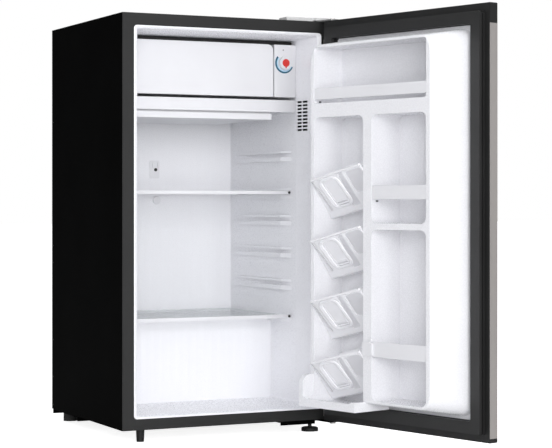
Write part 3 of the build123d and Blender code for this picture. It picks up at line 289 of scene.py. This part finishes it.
def add_dial_print():
    """The arc and the ring printed round the dial, and a mark above it. Radii and angles follow."""
    x, _, z = JOINTS["dial_turn"]["pos_m"]
    face_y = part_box("thermostat_housing")[0].y
    place = axes_at((x, face_y, z), *FRONT)
    start, end, steps = 140.0, 338.0, 40
    mark_radius, mark_place = 1.5 * MM, (-3 * MM, 27 * MM)
    for name, material, inner, outer_start, outer_end in (
        ("dial_wedge", PRINT_TEAL, 18.0, 21.8, 20.6),
        ("dial_ring", PRINT_BLUE, 15.2, 17.9, 17.9),
    ):
        bm = bmesh.new()
        far, near = [], []
        for step in range(steps + 1):
            share = step / steps
            angle = math.radians(start + (end - start) * share)
            radius = outer_start + (outer_end - outer_start) * share ** 2
            far.append((radius * MM * math.cos(angle), radius * MM * math.sin(angle)))
            near.append((inner * MM * math.cos(angle), inner * MM * math.sin(angle)))
        solid(bm, place, [far + near[::-1]] * 2, [0.0, PRINT_DEPTH])
        finish_piece(name, bm, "cabinet", material)
    bm = bmesh.new()
    solid(bm, place, [circle(mark_radius, mark_place, 16)] * 2, [0.0, PRINT_DEPTH])
    finish_piece("dial_mark", bm, "cabinet", PRINT_GREY)


def add_freezer_gap_strip():
    """A dark strip set in the gap between the freezer box and the ceiling."""
    length, height, corner = 0.368, 7.6 * MM, 2 * MM
    door_wall, above_door = 2.2 * MM, 4.4 * MM
    door_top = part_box("freezer_door_insert")[1].z + door_wall
    place = axes_at((1 * MM, 96.5 * MM, door_top + above_door), *FRONT)
    body = rounded(length, height, corner)
    nose = rounded(length - 4 * MM, 4 * MM, 1.5 * MM)
    bm = bmesh.new()
    solid(bm, place, [body, body, nose], [-6 * MM, 0.0, 1.5 * MM])
    finish_piece("freezer_gap_strip", bm, "cabinet", MATERIALS["black_rubber"])


def cross_head(bm, place, radius, height):
    """A low domed screw head with a cross recess."""
    steps = 32
    outer = circle(radius, steps=steps)
    shoulder = circle(radius * 0.92, steps=steps)
    crown = circle(radius * 0.62, steps=steps)
    arm, half = radius * 0.5, radius * 0.11
    cross = []
    for index in range(steps):
        angle = 2 * math.pi * index / steps
        cx, cy = math.cos(angle), math.sin(angle)
        reach = arm if max(abs(cx), abs(cy)) > 0.97 else half * 1.5
        cross.append((reach * cx, reach * cy))
    rings = stack(bm, place, [outer, shoulder, crown, cross, cross],
                  [0.0, height * 0.55, height, height, height * 0.35])
    bm.faces.new(rings[0])
    bm.faces.new(rings[-1])


def add_back_screws():
    """Cross-head screws round the back panel, on its outer face."""
    low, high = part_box("back_panel")
    bm = bmesh.new()
    inset, head_radius, head_height = 14 * MM, 4 * MM, 2.2 * MM
    columns = [low.x + inset, (low.x + high.x) / 2, high.x - inset]
    rows = [low.z + inset + (high.z - low.z - 2 * inset) * step / 4 for step in range(5)]
    for x in columns:
        for z in rows:
            if x == columns[1] and z not in (rows[0], rows[-1]):
                continue
            cross_head(bm, axes_at((x, high.y, z), *BACK), head_radius, head_height)
    finish_piece("back_panel_screws", bm, "cabinet", MATERIALS["steel"])


def add_back_beads():
    """Raised beads pressed into the back panel to stiffen it."""
    low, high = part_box("back_panel")
    bm = bmesh.new()
    place = axes_at(((low.x + high.x) / 2, high.y, (low.z + high.z) / 2), *BACK)
    corner, height = 30 * MM, 1.6 * MM
    for width, tall in ((0.36, 0.46), (0.26, 0.34)):
        outer, outer_top, inner_top, inner = [
            rounded(width - shrink, tall - shrink, corner - shrink / 2)
            for shrink in (0.0, 3 * MM, 7 * MM, 10 * MM)
        ]
        band(bm, place, [outer, outer_top], [inner, inner_top], [0.0, height])
    finish_piece("back_panel_beads", bm, "cabinet", MATERIALS["galvanised"])


# The can racks' front: where its top left corner is with the door shut, and how it leans
HINGE = Vector(JOINTS["door_hinge"]["pos_m"])
DOOR_OPEN = -math.radians(JOINTS["door_hinge"]["range_deg"][0])
DOOR_EDGE_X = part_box("outer_shell")[1].x
DOOR_INNER_Y = -0.013
RACK_CORNER = (0.065, 0.093, 0.514)
RACK_PITCH = 0.120
RACK_TILT = math.radians(12.6)
RACK_SLOPE = math.atan2(67.3, 50.0)


def swung():
    """The matrix that swings the door open from shut."""
    turn = Matrix.Rotation(DOOR_OPEN, 4, "Z")
    axis = Vector((HINGE.x, HINGE.y, 0))
    return Matrix.Translation(axis) @ turn @ Matrix.Translation(-axis)


def door_plane(s, reach, z):
    """Local x runs to the door's free edge, local y up, local z out of the liner into the cabinet."""
    shut = axes_at((DOOR_EDGE_X - s, DOOR_INNER_Y + reach, z), (-1, 0, 0), (0, 0, 1))
    return swung() @ shut


def rack_plane(step):
    """On a rack's front: local x along its rim from the left end, local y up it, local z outward."""
    s, reach, z = RACK_CORNER
    corner = Vector((DOOR_EDGE_X - s, DOOR_INNER_Y + reach, z))
    up = (0, math.cos(RACK_SLOPE), math.sin(RACK_SLOPE))
    lean = Matrix.Translation(corner) @ Matrix.Rotation(RACK_TILT, 4, "Y") @ Matrix.Translation(-corner)
    return swung() @ Matrix.Translation((0, 0, -step * RACK_PITCH)) @ lean @ axes_at(corner, (-1, 0, 0), up)


def add_rack_details(step):
    """The raised frame round a rack's window, and the bead along its left edge and its arm; the bead is tinted
    darker as painted shade of the gap beside it.
    """
    place = rack_plane(step)
    centre = (40.5 * MM, -42 * MM)
    bm = bmesh.new()
    outers = [rounded(59 * MM, 72 * MM, 17 * MM, centre), rounded(55 * MM, 68 * MM, 15 * MM, centre)]
    hole = (42 * MM, -42 * MM)
    inners = [rounded(40 * MM, 59 * MM, 8 * MM, hole), rounded(43 * MM, 62 * MM, 9.5 * MM, hole)]
    band(bm, place, outers, inners, [0.0, 2.2 * MM])
    bar = rounded(36 * MM, 2.6 * MM, 1.2 * MM, (40 * MM, -68.3 * MM))
    solid(bm, place, [bar, bar], [0.0, 1.4 * MM])
    finish_piece(f"rack_frame_{step + 1}", bm, "door", RACK_BRIGHT, 0.5 * MM)
    # The left-edge bead, tinted darker: painted shade of the gap along the rack's left edge
    bm = bmesh.new()
    edge = rounded(2.6 * MM, 74 * MM, 1.2 * MM, (1.8 * MM, -40 * MM))
    solid(bm, place, [edge, edge], [0.0, 2.4 * MM])
    finish_piece(f"rack_edge_{step + 1}", bm, "door", RACK_EDGE_SHADE, 0.5 * MM)


def add_shelf_dark_discs():
    """A dark disc at the right-hand front corner of each shelf."""
    inset = 3.4 * MM
    loops = [circle(radius * MM, steps=24) for radius in (2.7, 2.7, 1.9)]
    for body, trim in (("upper_shelf", "upper_shelf_trims"), ("lower_shelf", "lower_shelf_trim")):
        low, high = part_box(trim)
        place = axes_at((high.x - inset, low.y, high.z - inset), *FRONT)
        bm = bmesh.new()
        solid(bm, place, loops, [-1 * MM, 0.9 * MM, 1.6 * MM])
        finish_piece(f"{body}_dark_disc", bm, body, MATERIALS["black_rubber"])


def add_bar_buttons():
    """The domed button that holds the bottom bar, and dark plates at the snap slots beside the other bars, as
    painted shade of the slot openings.
    """
    bm = bmesh.new()
    place = door_plane(0.2285, 0.083, 0.2065)
    loops = [circle(radius * MM, steps=24) for radius in (4.2, 4.2, 3.6, 2.0)]
    solid(bm, place, loops, [-2 * MM, 1.0 * MM, 2.6 * MM, 3.4 * MM])
    finish_piece("bar_button", bm, "door", MATERIALS["white_plastic"])
    # Dark plates where the snap slots are: painted shade of the slot openings
    bm = bmesh.new()
    for s, z in ((0.0715, 0.6685), (0.2345, 0.4725)):
        loop = rounded(6 * MM, 2.6 * MM, 1.2 * MM)
        solid(bm, door_plane(s, 0.0735, z), [loop, loop], [-1 * MM, 0.3 * MM])
    finish_piece("snap_slot_shade", bm, "door", MATERIALS["dark_plastic"])


def add_compressor_seam():
    """The weld band round the compressor's can."""
    low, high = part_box("compressor")
    above_base, squash = 58 * MM, 56 / 66
    centre = ((low.x + high.x) / 2, (low.y + high.y) / 2, low.z + above_base)
    place = axes_at(centre, (1, 0, 0), (0, 1, 0))
    bm = bmesh.new()
    outers = [circle(radius * MM, steps=64, squash=squash) for radius in (67.5, 69.0, 69.0, 67.5)]
    inners = [circle(65.5 * MM, steps=64, squash=squash)] * 4
    band(bm, place, outers, inners, [0.0, 1.5 * MM, 4.5 * MM, 6 * MM])
    finish_piece("compressor_seam", bm, "cabinet", MATERIALS["black_enamel"])


PRINT_TEAL = surface("print_teal", (0.0, 0.08, 0.15), (0.0, 0.1, 0.18), (0.35, 0.45))
PRINT_BLUE = surface("print_blue", (0.42, 0.62, 0.78), (0.5, 0.7, 0.85), (0.35, 0.45))
PRINT_GREY = surface("print_grey", grey(0.25), grey(0.32), (0.4, 0.5))
RACK_BRIGHT = surface("rack_frame_plastic", grey(0.82, LAVENDER), grey(0.88, LAVENDER), (0.12, 0.2))
# A darker tint for the rack's edge bead: painted shade of the gap along the rack's left edge
RACK_EDGE_SHADE = surface("rack_edge_painted_shade", grey(0.5, LAVENDER), grey(0.58, LAVENDER), (0.12, 0.2))

add_dial_print()
add_freezer_gap_strip()
add_back_screws()
add_back_beads()
for rack in range(4):
    add_rack_details(rack)
add_shelf_dark_discs()
add_bar_buttons()
add_compressor_seam()

# ---------------------------------------------------------------- studio

FLOOR_SIZE = 60.0
CAMERA_PLACE = (-1.4626, -3.2052, 0.474)
CAMERA_YAW = 26.02
LENS = 114.9
SHIFT_Y = -0.043
# Each softbox: name, place, what it faces, its two sides and its power
SOFTBOXES = [
    ("front_light", (-0.9, -4.2, 0.75), (0.0, 0.2, 0.42), (2.4, 2.0), 110),
    ("key_light", (-2.6, -2.6, 1.7), (0.1, 0.0, 0.45), (1.8, 1.8), 8),
    ("top_light", (0.2, 0.4, 3.2), (0.0, 0.0, 0.4), (3.0, 3.0), 30),
]
FILL_FRONT = 0.85
FILL_BACK = 0.24
FLOOR_GLOW = 0.85


def add_floor():
    """A plain pale floor under the object, lifted to white as the camera sees it."""
    mesh = bpy.data.meshes.new("floor")
    half = FLOOR_SIZE / 2
    corners = [(-half, -half, 0), (half, -half, 0), (half, half, 0), (-half, half, 0)]
    mesh.from_pydata(corners, [], [(0, 1, 2, 3)])
    floor = bpy.data.objects.new("floor", mesh)
    bpy.context.scene.collection.objects.link(floor)
    floor.location.z = CAD_BOX[0][2]
    material = surface("floor_white", grey(0.86), grey(0.88), (0.7, 0.8), patch=1.0,
                       Emission_Color=(1.0, 1.0, 1.0, 1.0))
    tree = material.node_tree
    path = tree.nodes.new("ShaderNodeLightPath")
    glow = tree.nodes.new("ShaderNodeMath")
    glow.operation = "MULTIPLY"
    glow.inputs[1].default_value = FLOOR_GLOW
    tree.links.new(path.outputs["Is Camera Ray"], glow.inputs[0])
    tree.links.new(glow.outputs["Value"], tree.nodes["Principled BSDF"].inputs["Emission Strength"])
    mesh.materials.append(material)


def add_softbox(name, place, target, size, power):
    """A rectangular area light that faces a point."""
    data = bpy.data.lights.new(name, "AREA")
    data.shape = "RECTANGLE"
    data.size, data.size_y = size
    data.energy = power
    light = bpy.data.objects.new(name, data)
    bpy.context.scene.collection.objects.link(light)
    light.location = place
    light.rotation_euler = (Vector(target) - Vector(place)).to_track_quat("-Z", "Y").to_euler()


def add_world():
    """White behind the object, and a dimmer even light round it."""
    world = bpy.data.worlds.new("studio")
    bpy.context.scene.world = world
    world.use_nodes = True
    tree = world.node_tree
    tree.nodes.clear()
    output = tree.nodes.new("ShaderNodeOutputWorld")
    mix = tree.nodes.new("ShaderNodeMixShader")
    path = tree.nodes.new("ShaderNodeLightPath")
    fill = tree.nodes.new("ShaderNodeBackground")
    coords = tree.nodes.new("ShaderNodeTexCoord")
    parts = tree.nodes.new("ShaderNodeSeparateXYZ")
    level = tree.nodes.new("ShaderNodeMapRange")
    tree.links.new(coords.outputs["Generated"], parts.inputs["Vector"])
    tree.links.new(parts.outputs["Y"], level.inputs["Value"])
    level.inputs["From Min"].default_value = -0.6
    level.inputs["From Max"].default_value = 0.6
    level.inputs["To Min"].default_value = FILL_FRONT
    level.inputs["To Max"].default_value = FILL_BACK
    tree.links.new(level.outputs["Result"], fill.inputs["Strength"])
    seen = tree.nodes.new("ShaderNodeBackground")
    fill.inputs["Color"].default_value = (0.97, 0.98, 1.0, 1.0)
    seen.inputs["Color"].default_value = (1.0, 1.0, 1.0, 1.0)
    tree.links.new(path.outputs["Is Camera Ray"], mix.inputs["Fac"])
    tree.links.new(fill.outputs["Background"], mix.inputs[1])
    tree.links.new(seen.outputs["Background"], mix.inputs[2])
    tree.links.new(mix.outputs["Shader"], output.inputs["Surface"])


def add_camera():
    """The camera, level, a little over half the object's height."""
    data = bpy.data.cameras.new("camera")
    data.lens = LENS
    data.shift_y = SHIFT_Y
    camera = bpy.data.objects.new("camera", data)
    bpy.context.scene.collection.objects.link(camera)
    camera.location = CAMERA_PLACE
    camera.rotation_euler = (math.radians(90), 0, math.radians(-CAMERA_YAW))
    bpy.context.scene.camera = camera


add_floor()
add_world()
add_camera()
for softbox in SOFTBOXES:
    add_softbox(*softbox)
bpy.context.scene.view_settings.view_transform = "Standard"
